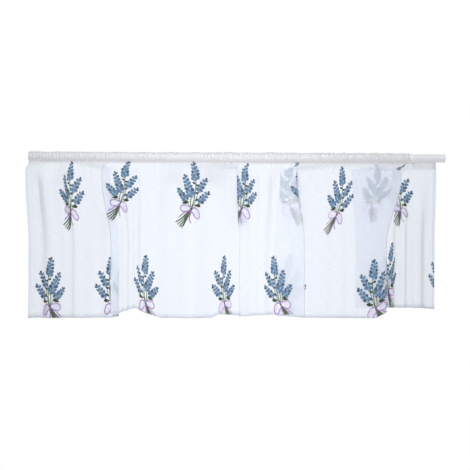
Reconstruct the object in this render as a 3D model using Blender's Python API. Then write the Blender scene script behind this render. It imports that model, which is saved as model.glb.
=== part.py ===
"""Kitchen cafe curtain gathered on a round rod.

Units are metres and +Z is up. X runs along the rod, away from its left end,
and the viewer stands at -Y. The origin is the centre of the rod's left end face.
"""

import math
from collections import namedtuple

import bmesh
import bpy
import numpy as np

# Driving dimensions
FLAT_WIDTH = 1.65
DROP = 0.400
SHEET_THICKNESS = 0.0012
ROD_LENGTH = 1.000
ROD_RADIUS = 0.0095
ROD_END_ROUND = 0.0016
ROD_END_STEPS = 3
ROD_SIDES = 40

# The pocket around the rod
TUNNEL_RADIUS = 0.0108
TUNNEL_BOTTOM = 0.0117
POCKET_BULGE = 0.0016
POCKET_STEPS = 9
POCKET_OPENING_ANGLE = math.radians(50.0)
SEAM_HEIGHT = -0.0140
POCKET_FLAT_END = 1.585

# The last stretch of the head hangs behind the rod
BEHIND_ROD = 0.0145
BEHIND_ROD_TOP = -0.0040
BEHIND_ROD_START = 0.016
BEHIND_ROD_RUN = 0.010

# How the folds grow from the pocket down to the hem
TURN_LENGTH = 0.016
PLEAT_FULL_AT = 0.038
DEPTH_FULL_AT = 0.011
WAVES_FULL_AT = 0.060
LAYERS_PART_AT = 0.6
LOWER_FOLDS_START = 0.040
LOWER_FOLDS_END = 0.200
CURVE_SAMPLES = 1651
WAVE_UNEVEN = 0.055
STEEPEST_WAVE = 2.1
WAVE_HALVINGS = 26

# Rows of the mesh, as distances below the pocket seam
BODY_DROP = DROP - TUNNEL_RADIUS - SHEET_THICKNESS + SEAM_HEIGHT
BODY_LEVELS = (0.0, 0.0075, 0.0125, 0.018, 0.026, 0.038, 0.070, 0.120, 0.185, 0.265, BODY_DROP)
COLUMNS_PER_WAVE = 6
COLUMN_PITCH = 0.022
CLOSEST_COLUMNS = 0.0044
TURN_PLACES = (-0.75, -0.25, 0.25, 0.75)

# A fold line runs from the pocket to the hem. Its flat places are measured
# across the flat cloth and its shown places along the rod. Depth is the
# distance behind the rod's axis. Waves lie between it and the line before.
# Where a shown place is left of the one before, the cloth runs back between
# the two as a pleat, and the line of smaller depth is the pleat's front edge.
FoldLine = namedtuple(
    "FoldLine", "name flat_top shown_top flat_hem shown_hem depth waves")
FOLD_LINES = (
    FoldLine("left_edge", 0.000, -0.007, 0.000, 0.001, 0.000, 0),
    FoldLine("left_swell", 0.182, 0.101, 0.168, 0.122, -0.002, 2),
    FoldLine("first_pleat_back", 0.280, 0.196, 0.283, 0.218, 0.007, 1),
    FoldLine("first_pleat_edge", 0.312, 0.176, 0.317, 0.199, -0.003, 0),
    FoldLine("quiet_start", 0.438, 0.283, 0.432, 0.280, -0.002, 2),
    FoldLine("second_pleat_back", 0.742, 0.528, 0.726, 0.530, 0.007, 2),
    FoldLine("second_pleat_edge", 0.780, 0.501, 0.764, 0.507, -0.003, 0),
    FoldLine("third_pleat_edge", 0.982, 0.640, 0.946, 0.665, -0.003, 2),
    FoldLine("third_pleat_back", 1.029, 0.605, 1.023, 0.594, 0.007, 0),
    FoldLine("fourth_pleat_edge", 1.323, 0.895, 1.304, 0.861, -0.003, 3),
    FoldLine("fourth_pleat_back", 1.440, 0.777, 1.383, 0.788, 0.007, 0),
    FoldLine("right_swell", 1.536, 0.868, 1.467, 0.865, 0.009, 0),
    FoldLine("right_edge", 1.650, 0.980, 1.650, 0.977, 0.006, 3),
)

# Where the gathers sit along the rod inside the pocket.
PocketPlace = namedtuple("PocketPlace", "flat shown")
POCKET_PLACES = (
    PocketPlace(0.000, 0.001),
    PocketPlace(0.182, 0.104),
    PocketPlace(0.382, 0.229),
    PocketPlace(0.583, 0.387),
    PocketPlace(0.782, 0.511),
    PocketPlace(0.982, 0.632),
    PocketPlace(1.181, 0.752),
    PocketPlace(1.382, 0.835),
    PocketPlace(1.585, 0.917),
    PocketPlace(1.650, 0.980),
)

# How far the hem is lifted above its lowest line.
HemRise = namedtuple("HemRise", "flat rise")
HEM_RISES = (
    HemRise(0.000, 0.000),
    HemRise(0.258, 0.001),
    HemRise(0.283, 0.005),
    HemRise(0.317, 0.013),
    HemRise(0.345, 0.014),
    HemRise(0.375, 0.020),
    HemRise(0.401, 0.026),
    HemRise(0.437, 0.013),
    HemRise(0.478, 0.001),
    HemRise(0.619, 0.001),
    HemRise(0.637, 0.009),
    HemRise(0.726, 0.009),
    HemRise(0.764, 0.007),
    HemRise(0.860, 0.012),
    HemRise(0.946, 0.004),
    HemRise(1.023, 0.010),
    HemRise(1.095, 0.004),
    HemRise(1.276, 0.004),
    HemRise(1.304, 0.019),
    HemRise(1.350, 0.029),
    HemRise(1.590, 0.029),
    HemRise(1.650, 0.026),
)

CLOTH_COLOUR = (0.86, 0.89, 0.95)
CLOTH_ROUGHNESS = 0.85
ROD_COLOUR = (0.84, 0.84, 0.86)
ROD_ROUGHNESS = 0.35
ROD_SHARP_ANGLE = math.radians(40.0)


def clear_scene():
    """Remove what a new scene starts with."""
    for item in list(bpy.data.objects):
        bpy.data.objects.remove(item, do_unlink=True)


def plain_material(name, colour, roughness):
    """One Principled material with a single colour."""
    material = bpy.data.materials.new(name)
    material.use_nodes = True
    shader = material.node_tree.nodes["Principled BSDF"]
    shader.inputs["Base Color"].default_value = (*colour, 1.0)
    shader.inputs["Roughness"].default_value = roughness
    shader.inputs["Metallic"].default_value = 0.0
    return material


def ease(value, start, end):
    """Smooth step from 0 at start to 1 at end."""
    part = min(max((value - start) / (end - start), 0.0), 1.0)
    return part * part * (3.0 - 2.0 * part)


def fold_places(lower):
    """Flat and shown places of every fold line, lower being 0 to 1."""
    flat = np.array([f.flat_top + (f.flat_hem - f.flat_top) * lower for f in FOLD_LINES])
    shown = np.array([f.shown_top + (f.shown_hem - f.shown_top) * lower for f in FOLD_LINES])
    return flat, shown


def turn_heading(flat, places, backward):
    """Heading of the cloth seen from above: 0 along the rod, pi or -pi back along it."""
    heading = np.zeros_like(flat)
    for index, is_back in enumerate(backward):
        if not is_back:
            continue
        turn = math.copysign(math.pi, FOLD_LINES[index + 1].depth - FOLD_LINES[index].depth)
        for place, way in ((places[index], turn), (places[index + 1], -turn)):
            heading += way * np.clip((flat - place) / TURN_LENGTH + 0.5, 0.0, 1.0)
    return heading


def wave_window(flat, start, end, clear_start, clear_end):
    """Envelope of the waves in one stretch, quiet where layers lie close."""
    rise = np.clip((flat - start - clear_start) / TURN_LENGTH, 0.0, 1.0)
    fall = np.clip((end - clear_end - flat) / TURN_LENGTH, 0.0, 1.0)
    return np.minimum(rise, fall)


def wave_angle(base, wave, step, travel):
    """Size of the waves that brings a stretch to its shown travel."""
    low, high = 0.0, STEEPEST_WAVE
    for _ in range(WAVE_HALVINGS):
        middle = (low + high) / 2.0
        reach = float(np.sum(np.cos(base + middle * wave)) * step)
        if reach > travel:
            low = middle
        else:
            high = middle
    return (low + high) / 2.0


def follow_heading(flat, heading, places, shown):
    """X and Y of a line with a given heading, brought to the fold lines' places."""
    step = flat[1] - flat[0]
    x = np.concatenate(([0.0], np.cumsum(np.cos(heading[:-1]) * step)))
    y = np.concatenate(([0.0], np.cumsum(np.sin(heading[:-1]) * step)))
    depths = np.array([line.depth for line in FOLD_LINES])
    x = x + np.interp(flat, places, shown - np.interp(places, flat, x))
    y = y + np.interp(flat, places, depths - np.interp(places, flat, y))
    return x, y


def plan_curve(lower):
    """The cloth seen from above: its pleats alone, then its pleats and waves."""
    places, shown = fold_places(lower)
    flat = np.linspace(0.0, FLAT_WIDTH, CURVE_SAMPLES)
    step = flat[1] - flat[0]
    backward = np.diff(shown) < 0.0
    heading = turn_heading(flat, places, backward)
    pleat_x, pleat_y = follow_heading(flat, heading, places, shown)
    sloped_y = sloped_layers(flat, pleat_y, places, backward)
    for index, is_back in enumerate(backward):
        waves = FOLD_LINES[index + 1].waves
        if is_back or waves == 0:
            continue
        start, end = places[index], places[index + 1]
        before = shown[index - 1] - shown[index] if index > 0 and backward[index - 1] else 0.0
        is_last = index + 1 >= len(backward)
        after = shown[index + 1] - shown[index + 2] if not is_last and backward[index + 1] else 0.0
        inside = (flat >= start) & (flat < end)
        first, last = start + before, end - after
        window = wave_window(flat, start, end, before, after)
        part = (flat - first) / (last - first)
        part = part + WAVE_UNEVEN * np.sin(2.0 * math.pi * part + index)
        wave = window * np.sin(2.0 * math.pi * waves * part)
        travel = shown[index + 1] - shown[index]
        angle = wave_angle(heading[inside], wave[inside], step, travel)
        heading = heading + np.where(inside, angle * wave, 0.0)
    full_x, full_y = follow_heading(flat, heading, places, shown)
    return flat, (pleat_x, pleat_y, sloped_y), (full_x - pleat_x, full_y - pleat_y)


def sloped_layers(flat, y, places, backward):
    """Depths with each pleat's layers replaced by one even slope."""
    sloped = y.copy()
    for index, is_back in enumerate(backward):
        if is_back:
            start = places[index] - TURN_LENGTH / 2.0
            end = places[index + 1] + TURN_LENGTH / 2.0
            inside = (flat > start) & (flat < end)
            ends = np.interp((start, end), flat, y)
            sloped[inside] = np.interp(flat[inside], (start, end), ends)
    return sloped


def pocket_x(flat):
    """Where a flat place lies along the rod inside the pocket."""
    return np.interp(flat, [p.flat for p in POCKET_PLACES], [p.shown for p in POCKET_PLACES])


def hem_rise(flat):
    """Lift of the hem at a flat place."""
    return np.interp(flat, [h.flat for h in HEM_RISES], [h.rise for h in HEM_RISES])


def behind_rod(flat):
    """0 where the pocket holds the cloth, 1 where the head hangs behind the rod."""
    part = np.clip((flat - POCKET_FLAT_END) / BEHIND_ROD_START, 0.0, 1.0)
    return part * part * (3.0 - 2.0 * part)


def level_line(columns, level):
    """Points and plan normals of the cloth at one distance below the seam."""
    lower = ease(level, LOWER_FOLDS_START, LOWER_FOLDS_END)
    flat, (pleat_x, pleat_y, sloped_y), (wave_x, wave_y) = plan_curve(lower)
    pleat = ease(level, 0.0, PLEAT_FULL_AT)
    parted = ease(pleat, LAYERS_PART_AT, 1.0)
    waves = ease(level, 0.0, WAVES_FULL_AT)
    x = pleat * pleat_x + (1.0 - pleat) * pocket_x(flat) + waves * wave_x
    y = (parted * pleat_y + (1.0 - parted) * sloped_y) * ease(level, 0.0, DEPTH_FULL_AT)
    y = y + waves * wave_y
    head = (1.0 - ease(level, 0.0, PLEAT_FULL_AT)) * behind_rod(flat)
    y = y + head * (BEHIND_ROD - y)
    along_x = np.gradient(x, flat)
    along_y = np.gradient(y, flat)
    length = np.hypot(along_x, along_y)
    normal_x = along_y / length
    normal_y = -along_x / length
    z = SEAM_HEIGHT - level * (1.0 - hem_rise(flat) / BODY_DROP)
    if level == 0.0:
        lift = np.clip((flat - POCKET_FLAT_END - BEHIND_ROD_START) / BEHIND_ROD_RUN, 0.0, 1.0)
        z = z + (BEHIND_ROD_TOP - SEAM_HEIGHT) * lift
    places = np.interp(columns, fold_places(0.0)[0], fold_places(lower)[0])
    return [
        (
            (np.interp(c, flat, x), np.interp(c, flat, y), np.interp(c, flat, z)),
            (np.interp(c, flat, normal_x), np.interp(c, flat, normal_y)),
        )
        for c in places
    ]


def column_places():
    """Flat places of the mesh columns at the top: closer at turns and on waves."""
    places = {0.0, FLAT_WIDTH, POCKET_FLAT_END}
    flat, shown = fold_places(0.0)
    for index in range(1, len(flat) - 1):
        turns = shown[index] - shown[index - 1] < 0.0 or shown[index + 1] - shown[index] < 0.0
        if turns:
            places.update(flat[index] + place * TURN_LENGTH for place in TURN_PLACES)
    for index in range(1, len(flat)):
        width = flat[index] - flat[index - 1]
        count = max(FOLD_LINES[index].waves * COLUMNS_PER_WAVE, round(width / COLUMN_PITCH))
        for step in range(count):
            places.add(flat[index - 1] + width * step / count)
    kept = [0.0]
    for place in sorted(places):
        fixed = place in (FLAT_WIDTH, POCKET_FLAT_END)
        too_close = place - kept[-1] < CLOSEST_COLUMNS
        if fixed and too_close:
            kept.pop()
        if fixed or not too_close:
            kept.append(place)
    return kept


def pocket_ring(index, flat, seam, normal, radius):
    """Cross-section of the pocket at one column, from front seam to back seam."""
    seam_x, seam_y, seam_z = seam
    along = float(pocket_x(flat))
    half = SHEET_THICKNESS / 2.0
    bulge = POCKET_BULGE * (index % 2)
    ring = [(seam_x + normal[0] * half, seam_y + normal[1] * half, seam_z)]
    sweep = 2.0 * (math.pi - POCKET_OPENING_ANGLE)
    for step in range(1, POCKET_STEPS):
        part = (step - 1) / (POCKET_STEPS - 2)
        angle = -math.pi / 2.0 - POCKET_OPENING_ANGLE - sweep * part
        follow = ((1.0 + math.cos(2.0 * math.pi * step / POCKET_STEPS)) / 2.0) ** 2
        reach = radius + bulge * math.sin(math.pi * part)
        ring.append((
            along + (seam_x - along) * follow,
            reach * math.cos(angle),
            reach * math.sin(angle),
        ))
    ring.append((seam_x - normal[0] * half, seam_y - normal[1] * half, seam_z))
    return ring


def hung_rows(mesh, columns):
    """Front and back vertices of the hung sheet, a row for each level."""
    half = SHEET_THICKNESS / 2.0
    fronts, backs = [], []
    for level in BODY_LEVELS:
        front, back = [], []
        for (x, y, z), (nx, ny) in level_line(columns, level):
            front.append(mesh.verts.new((x + nx * half, y + ny * half, z)))
            back.append(mesh.verts.new((x - nx * half, y - ny * half, z)))
        fronts.append(front)
        backs.append(back)
    return fronts, backs


def pocket_loops(mesh, columns, front_seam, back_seam):
    """Outer and inner vertices of the pocket, a loop for each column that has it."""
    outers, inners = [], []
    seam_line = level_line(columns, 0.0)
    for index, flat in enumerate(columns):
        if flat > POCKET_FLAT_END:
            break
        seam, normal = seam_line[index]
        outer = pocket_ring(index, flat, seam, normal, TUNNEL_RADIUS + SHEET_THICKNESS)
        inner = pocket_ring(index, flat, seam, normal, TUNNEL_RADIUS)
        points = [mesh.verts.new(point) for point in outer[1:-1]]
        outers.append([front_seam[index]] + points + [back_seam[index]])
        bottom = mesh.verts.new((seam[0], 0.0, -TUNNEL_BOTTOM))
        inners.append([bottom] + [mesh.verts.new(point) for point in inner[1:-1]])
    return outers, inners


def face_sheet(mesh, fronts, backs, open_from):
    """Faces of the hung sheet, its side edges, its hem and its top past the pocket."""
    last_column = len(fronts[0]) - 1
    last_row = len(fronts) - 1
    for i in range(last_column):
        for row in range(last_row):
            mesh.faces.new((fronts[row][i], fronts[row + 1][i],
                            fronts[row + 1][i + 1], fronts[row][i + 1]))
            mesh.faces.new((backs[row][i], backs[row][i + 1],
                            backs[row + 1][i + 1], backs[row + 1][i]))
        mesh.faces.new((fronts[-1][i], backs[-1][i], backs[-1][i + 1], fronts[-1][i + 1]))
        if i >= open_from:
            mesh.faces.new((fronts[0][i], fronts[0][i + 1], backs[0][i + 1], backs[0][i]))
    for i in (0, last_column):
        for row in range(last_row):
            mesh.faces.new((fronts[row][i], backs[row][i],
                            backs[row + 1][i], fronts[row + 1][i]))


def face_pocket(mesh, outers, inners):
    """Faces of the pocket: its outside, its tunnel and its two mouths."""
    last_loop = len(outers) - 1
    for i in range(last_loop):
        for step in range(POCKET_STEPS):
            after = (step + 1) % POCKET_STEPS
            mesh.faces.new((outers[i][step], outers[i][step + 1],
                            outers[i + 1][step + 1], outers[i + 1][step]))
            mesh.faces.new((inners[i][step], inners[i + 1][step],
                            inners[i + 1][after], inners[i][after]))
    for i in (0, last_loop):
        for step in range(POCKET_STEPS):
            after = (step + 1) % POCKET_STEPS
            mesh.faces.new((outers[i][step], outers[i][step + 1],
                            inners[i][after], inners[i][step]))
        mesh.faces.new((outers[i][POCKET_STEPS], outers[i][0], inners[i][0]))


def add_object(name, mesh, material):
    """An object in the scene from a finished bmesh, with its material."""
    data = bpy.data.meshes.new(name)
    mesh.to_mesh(data)
    mesh.free()
    data.materials.append(material)
    data.shade_smooth()
    item = bpy.data.objects.new(name, data)
    bpy.context.scene.collection.objects.link(item)
    return item


def build_curtain(material):
    """One closed solid: hung sheet, its hem and the pocket around the rod."""
    columns = column_places()
    mesh = bmesh.new()
    fronts, backs = hung_rows(mesh, columns)
    outers, inners = pocket_loops(mesh, columns, fronts[0], backs[0])
    face_sheet(mesh, fronts, backs, open_from=len(outers) - 1)
    face_pocket(mesh, outers, inners)
    bmesh.ops.triangulate(mesh, faces=mesh.faces)
    bmesh.ops.recalc_face_normals(mesh, faces=mesh.faces)
    return add_object("curtain", mesh, material)


def build_rod(material):
    """A plain round rod with its end rims rounded over."""
    mesh = bmesh.new()
    bmesh.ops.create_cone(mesh, cap_ends=True, segments=ROD_SIDES, radius1=ROD_RADIUS,
                          radius2=ROD_RADIUS, depth=ROD_LENGTH)
    rims = [edge for edge in mesh.edges if edge.calc_length() < ROD_LENGTH / 2.0]
    bmesh.ops.bevel(mesh, geom=rims, offset=ROD_END_ROUND, segments=ROD_END_STEPS,
                    affect="EDGES", profile=0.5)
    rod = add_object("rod", mesh, material)
    rod.data.set_sharp_from_angle(angle=ROD_SHARP_ANGLE)
    rod.rotation_euler = (0.0, math.pi / 2.0, 0.0)
    rod.location = (ROD_LENGTH / 2.0, 0.0, 0.0)
    return rod


def main():
    clear_scene()
    build_curtain(plain_material("voile", CLOTH_COLOUR, CLOTH_ROUGHNESS))
    build_rod(plain_material("rod_white", ROD_COLOUR, ROD_ROUGHNESS))


main()
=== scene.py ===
import math
from collections import namedtuple

import bpy
import numpy as np
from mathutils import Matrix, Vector


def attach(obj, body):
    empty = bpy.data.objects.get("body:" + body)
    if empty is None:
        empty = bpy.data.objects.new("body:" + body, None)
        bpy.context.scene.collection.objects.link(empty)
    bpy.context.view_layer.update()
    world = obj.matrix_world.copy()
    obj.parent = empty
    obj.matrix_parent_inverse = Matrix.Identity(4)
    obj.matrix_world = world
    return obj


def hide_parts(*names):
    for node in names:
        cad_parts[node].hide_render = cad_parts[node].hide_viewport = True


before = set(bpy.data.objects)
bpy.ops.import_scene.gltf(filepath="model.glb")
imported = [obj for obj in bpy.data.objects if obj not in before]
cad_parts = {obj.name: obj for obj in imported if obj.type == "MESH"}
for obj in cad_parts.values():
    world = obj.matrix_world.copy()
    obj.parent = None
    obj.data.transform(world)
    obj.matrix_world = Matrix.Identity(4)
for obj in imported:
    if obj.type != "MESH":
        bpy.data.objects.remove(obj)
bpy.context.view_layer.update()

# Driving dimensions, in metres. They are the solids' own, but the pleats reach their
# full width sooner below the seam, and the waves are gentler.
FLAT_WIDTH = 1.65
DROP = 0.400
ROD_RADIUS = 0.0095
POCKET_TOP = 0.0120
SEAM_HEIGHT = -0.0140
BODY_DROP = DROP - POCKET_TOP + SEAM_HEIGHT
POCKET_FLAT_END = 1.585
TURN_LENGTH = 0.016
PLEAT_FULL_AT = 0.018
DEPTH_FULL_AT = 0.011
WAVES_FULL_AT = 0.060
LAYERS_PART_AT = 0.6
LOWER_FOLDS_START = 0.040
LOWER_FOLDS_END = 0.200
CURVE_SAMPLES = 1651
WAVE_UNEVEN = 0.055
STEEPEST_WAVE = 1.3
WAVE_HALVINGS = 26
WAVE_SHARE = 0.58

# The flat head at the right end, which hangs behind the rod
BEHIND_ROD = 0.0145
BEHIND_ROD_START = 0.016
BEHIND_ROD_RUN = 0.010
HEAD_LOW_TOP = 0.004
HEAD_RISE = 0.014
HEAD_THICKNESS = 0.0012

# The fine cloth: its rows and columns, and its hems
POCKET_RADIUS = ROD_RADIUS + 0.0006
POCKET_ROWS = 22
STITCH_HEIGHT = -0.0112
SHEET_COLUMNS = 1000
CLOSE_ROWS = 20
CLOSE_ROWS_END = 0.045
OPEN_ROWS = 42
NORMAL_REACH = 0.0012
HEM_TURN_UP = 0.010
HEM_FOLD = 0.0006
HEM_MIDDLE = 0.4
HEM_GAP = 0.0006
SIDE_HEM = 0.008
HEM_DENSER = 0.2

# The sewing
STITCH_PITCH = 0.0034
STITCH_LENGTH = 0.0024
STITCH_WIDTH = 0.0006
BELOW_SEAM = 0.0012
ROW_END = 0.002
SIDE_ROW_INSET = 0.001
SIDE_ROW_START = 0.003

# The gathers under the seam and on the pocket. A swing is a sine along the flat
# cloth: how large it is, its turn in radians for each metre, and its start.
Swing = namedtuple("Swing", "size rate start")
GATHER_PITCH = 0.0115
GATHER_DEPTH = 0.0019
GATHER_FADE = 0.020
GATHER_DRIFTS = (Swing(0.42, 31.0, 0.0), Swing(0.33, 73.0, 1.3))
GATHER_BEATS = (Swing(0.35, 19.0, 0.7), Swing(1.0, 47.0, 0.0))
GATHER_MEAN = 0.8
GATHER_FULL_AT = 0.42
GATHER_LEAST = 0.25
GATHER_MOST = 1.2

# Below the seam the fine gathers run into half as many wide ones, which fade later
WIDE_GATHERS = 0.7
WIDE_FADE = 3.0
WIDE_START = 0.8

# The pocket's own ripples and swells, loose over the rod and tight at the seam
POCKET_RIPPLE = 0.0026
POCKET_SWELL = 0.0013
SWELL_BEATS = (Swing(0.5, 57.0, 0.4), Swing(1.0, 23.0, 0.0))
RIPPLE_SWAY = Swing(0.7, 26.0, 0.0)
SEAM_REACH = 0.9
BACK_LAYER = 0.0007

# The camera and the photograph's frame
PHOTO_PIXELS = 470
METRES_PER_PIXEL = 0.0024
ROD_LEFT_PIXEL = 28.0
ROD_ROW_PIXEL = 157.4
CAMERA_DISTANCE = 3.4
SENSOR = 36.0
CAMERA_ROLL = math.radians(-0.31)

# The studio: soft rectangular lights, each with its place and what it aims at
FLOOR_HEIGHT = -1.25
FLOOR_SIZE = 5.0
AMBIENT = 0.37
AMBIENT_TINT = (0.88, 0.93, 1.0, 1.0)
WHITE = (1.0, 1.0, 1.0, 1.0)
LIGHT_TINT = (0.97, 0.985, 1.0)
Light = namedtuple("Light", "name place aim width height power")
LIGHTS = (
    Light("key_light", (0.47, -0.62, -0.26), (0.47, 0.0, -0.26), 0.30, 0.55, 2.1),
    Light("side_light", (-1.6, -1.3, 0.9), (0.4, 0.0, -0.2), 0.5, 0.5, 2.0),
    Light("top_light", (0.5, -1.0, 1.4), (0.5, 0.0, 0.0), 1.6, 0.4, 14.0),
    Light("back_light", (0.5, 2.4, 0.8), (0.5, 0.0, -0.2), 1.2, 1.2, 16.0),
    Light("floor_light", (0.5, 0.0, -0.60), (0.5, 0.0, FLOOR_HEIGHT), 3.4, 3.4, 9.0),
)

# The finishes. A cover is how much of the light the cloth stops.
WEAVE_PITCH = 0.0006
SLUB_STRETCH = (60.0, 900.0, 1.0)
WEAVE_COVER = 0.30
OPEN_COVER = 0.34
SLUB_COVER = 0.12
VOILE_TINTS = ((0.83, 0.87, 0.96), (0.88, 0.91, 0.98))
# Painted shade: the pocket's cloth is tinted darker than the rest, to tone down the light it gets
# over the rod.
POCKET_SHADED_TINT = (0.83, 0.81, 0.82, 1.0)
FOLD_SHADING = 0.25
SEWING_TINT = (0.80, 0.82, 0.87)
LACQUER_TINTS = ((0.90, 0.89, 0.90), (0.95, 0.94, 0.95))

# The fold lines. Each has its place on the flat cloth and as shown along the rod, at
# the seam and at the hem, its depth, and the waves in the stretch that ends there.
FoldLine = namedtuple(
    "FoldLine", "name flat_top shown_top flat_hem shown_hem depth waves")
FOLD_LINES = (
    FoldLine("left_edge", 0.000, -0.007, 0.000, 0.001, 0.000, 0),
    FoldLine("left_swell", 0.182, 0.101, 0.168, 0.122, -0.002, 2),
    FoldLine("first_pleat_back", 0.280, 0.196, 0.283, 0.218, 0.007, 1),
    FoldLine("first_pleat_edge", 0.312, 0.176, 0.317, 0.199, -0.003, 0),
    FoldLine("quiet_start", 0.438, 0.283, 0.432, 0.280, -0.002, 2),
    FoldLine("second_pleat_back", 0.742, 0.528, 0.726, 0.530, 0.007, 2),
    FoldLine("second_pleat_edge", 0.780, 0.501, 0.764, 0.507, -0.003, 0),
    FoldLine("third_pleat_edge", 0.982, 0.645, 0.946, 0.665, -0.003, 2),
    FoldLine("third_pleat_back", 1.029, 0.605, 1.023, 0.594, 0.007, 0),
    FoldLine("fourth_pleat_edge", 1.323, 0.895, 1.304, 0.861, -0.003, 3),
    FoldLine("fourth_pleat_back", 1.440, 0.777, 1.383, 0.788, 0.007, 0),
    FoldLine("right_swell", 1.536, 0.868, 1.467, 0.865, 0.009, 0),
    FoldLine("right_edge", 1.650, 0.980, 1.650, 0.977, 0.006, 3),
)

# How the pocket crowds the cloth: flat places and where they lie along the rod
PocketPlace = namedtuple("PocketPlace", "flat shown")
POCKET_PLACES = (
    PocketPlace(0.000, 0.001),
    PocketPlace(0.182, 0.104),
    PocketPlace(0.382, 0.240),
    PocketPlace(0.583, 0.397),
    PocketPlace(0.782, 0.509),
    PocketPlace(0.982, 0.632),
    PocketPlace(1.181, 0.752),
    PocketPlace(1.382, 0.835),
    PocketPlace(1.585, 0.917),
    PocketPlace(1.650, 0.980),
)

# How far the hem rises above its lowest level, by flat place
HemRise = namedtuple("HemRise", "flat rise")
HEM_RISES = (
    HemRise(0.000, 0.000),
    HemRise(0.258, 0.001),
    HemRise(0.283, 0.005),
    HemRise(0.317, 0.013),
    HemRise(0.345, 0.014),
    HemRise(0.375, 0.020),
    HemRise(0.401, 0.026),
    HemRise(0.437, 0.013),
    HemRise(0.478, 0.001),
    HemRise(0.619, 0.001),
    HemRise(0.637, 0.009),
    HemRise(0.726, 0.009),
    HemRise(0.764, 0.007),
    HemRise(0.860, 0.012),
    HemRise(0.946, 0.004),
    HemRise(1.023, 0.010),
    HemRise(1.095, 0.004),
    HemRise(1.276, 0.004),
    HemRise(1.304, 0.019),
    HemRise(1.350, 0.029),
    HemRise(1.590, 0.029),
    HemRise(1.650, 0.026),
)

# The embroidered bunch on flat cloth, in millimetres from its knot.
Spike = namedtuple("Spike", "name tip_x tip_z base_x base_z width")
SPIKES = (
    Spike("top", 2, 114, -4, 72, 22),
    Spike("upper_left", -31, 80, -14, 46, 19),
    Spike("upper_right", 23, 78, 1, 31, 21),
    Spike("lower_left", -40, 49, -18, 19, 19),
    Spike("lower_right", 37, 42, 14, 20, 19),
)

Stem = namedtuple("Stem", "name points radius")
STEMS = (
    Stem("to_top", ((-4, 76), (-6, 48), (-4, 22), (0, 0)), 1.2),
    Stem("to_upper_left", ((-15, 52), (-9, 26), (-1, 0)), 1.0),
    Stem("to_upper_right", ((1, 35), (3, 18), (1, 0)), 1.2),
    Stem("to_lower_left", ((-20, 21), (-12, 11), (-1, -2)), 1.0),
    Stem("to_lower_right", ((15, 26), (8, 12), (1, -1)), 1.0),
)

# The stalks below the knot, by where they end; every other one is darker. They
# bend at two places, given as shares of the way across and down.
STALK_ENDS = ((17, -47), (21, -51), (26, -49), (31, -45), (36, -40))
STALK_BENDS = ((0.28, 0.35), (0.62, 0.7))
STALK_RADIUS = 1.5

# The knot's size, and its x, its z and how far it stands out
KNOT_SIZE = (5.0, 2.0, 7.0)
KNOT_PLACE = (0.0, -1.0, 0.3)

Leaf = namedtuple("Leaf", "x z angle length width")
LEAVES = (
    Leaf(-1, 64, 30, 9, 5.4),
    Leaf(-8, 60, 150, 8, 5.4),
    Leaf(-10, 41, 160, 9, 6.4),
    Leaf(-1, 47, 40, 7, 4.6),
    Leaf(-10, 24, 150, 10, 6.2),
    Leaf(-14, 11, 176, 17, 9.0),
    Leaf(15, 13, 158, 18, 9.0),
    Leaf(10, 24, 50, 9, 5.4),
)

# Each ribbon of the bow runs through its points; a loop closes on the knot.
Ribbon = namedtuple("Ribbon", "name points filled")
RIBBONS = (
    Ribbon("left_loop", ((0, 0), (-12, 2), (-18, -6), (-20, -17), (-14, -22),
                         (-6, -14)), True),
    Ribbon("right_loop", ((0, 0), (10, 6), (20, 6), (26, -1), (23, -9),
                          (13, -9)), True),
    Ribbon("left_tail", ((0, 0), (1, -12), (3, -24), (-1, -36)), False),
    Ribbon("right_tail", ((2, -3), (12, -10), (22, -19), (30, -26)), False),
)

# Each row of bunches repeats evenly along the flat cloth. A bunch has its number
# in its row, how far along and below its even place it lies in millimetres, its
# lean in degrees, and how wide and tall it is beside the drawn one.
BUNCH_PITCH = 0.200
LOWER_FIRST = 0.067
LOWER_BELOW = 0.340
UPPER_FIRST = 0.182
UPPER_BELOW = 0.112
Place = namedtuple("Place", "number along below lean wide tall")
LOWER_ROW = (
    Place(0, 8, 5, -1, 1.20, 1.00),
    Place(1, -3, 3, 2, 1.10, 1.00),
    Place(2, -32, 8, 0, 0.85, 1.01),
    Place(3, -11, 6, 1, 0.80, 1.01),
    Place(4, 16, 7, 10, 0.90, 1.02),
    Place(5, -5, -1, 0, 1.00, 1.00),
    Place(6, 9, 12, 3, 1.00, 1.03),
    Place(7, 2, -10, -5, 0.66, 1.08),
    Place(8, 8, -4, 0, 1.00, 1.00),
)
UPPER_ROW = (
    Place(0, -17, 3, -9, 0.90, 1.02),
    Place(1, -21, -10, -12, 1.08, 0.94),
    Place(2, -15, -2, -9, 1.20, 0.98),
    Place(3, 5, 0, -13, 1.00, 0.98),
    Place(4, 13, -8, -6, 1.00, 0.98),
    Place(5, -9, 11, -4, 0.73, 1.00),
    Place(6, -8, -4, -3, 0.78, 0.90),
    Place(7, -42, 3, -7, 1.00, 0.98),
)

# Where each row starts, how far it lies below the seam, and its bunches' hand
BunchRow = namedtuple("BunchRow", "name places first below side")
BUNCH_ROWS = (
    BunchRow("lower", LOWER_ROW, LOWER_FIRST, LOWER_BELOW, 1.0),
    BunchRow("upper", UPPER_ROW, UPPER_FIRST, UPPER_BELOW, -1.0),
)

# A bunch that is within this many millimetres of an edge is cut a little inside it
CUT_REACH = 60.0
EDGE_MARGIN = 0.0012

# The threads, by their material slots
PALE_THREAD = 0
MID_THREAD = 1
DARK_THREAD = 2
LEAF_THREAD = 3
STEM_THREAD = 4
STALK_THREAD = 5
LILAC_THREAD = 6
PINK_THREAD = 7

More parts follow.
